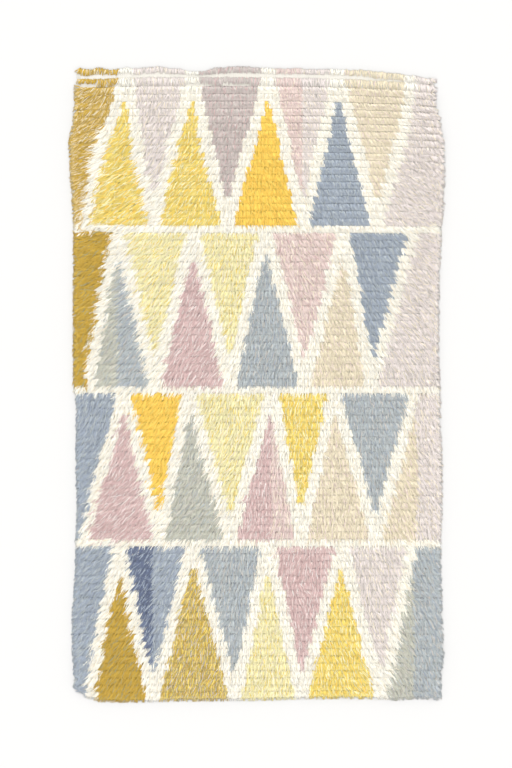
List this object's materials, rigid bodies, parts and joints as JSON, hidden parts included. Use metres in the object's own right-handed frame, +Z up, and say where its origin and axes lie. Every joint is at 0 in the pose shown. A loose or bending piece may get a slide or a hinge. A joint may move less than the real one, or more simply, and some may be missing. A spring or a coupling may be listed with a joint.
{
  "type": "rya rug",
  "caption": "Flat rectangular knotted rug with a half-long wool pile in shingled rows, two bare ground strips near the head and loose locks along its sides and foot.",
  "frame": {"origin": "middle of the rug's footprint, on the floor it lies on", "axes": "+Z up out of the pile, +X across the width, +Y along the length towards the head, away from where the pile tips point"},
  "size_m": [1.0404, 1.7478, 0.0158],
  "materials": {
    "wool_pile": "matte wool pile yarn, cut ends",
    "ground_weave": "matte off-white woven ground"
  },
  "bodies": {
    "root": {"pile_rug": "wool_pile"}
  },
  "joints": []
}
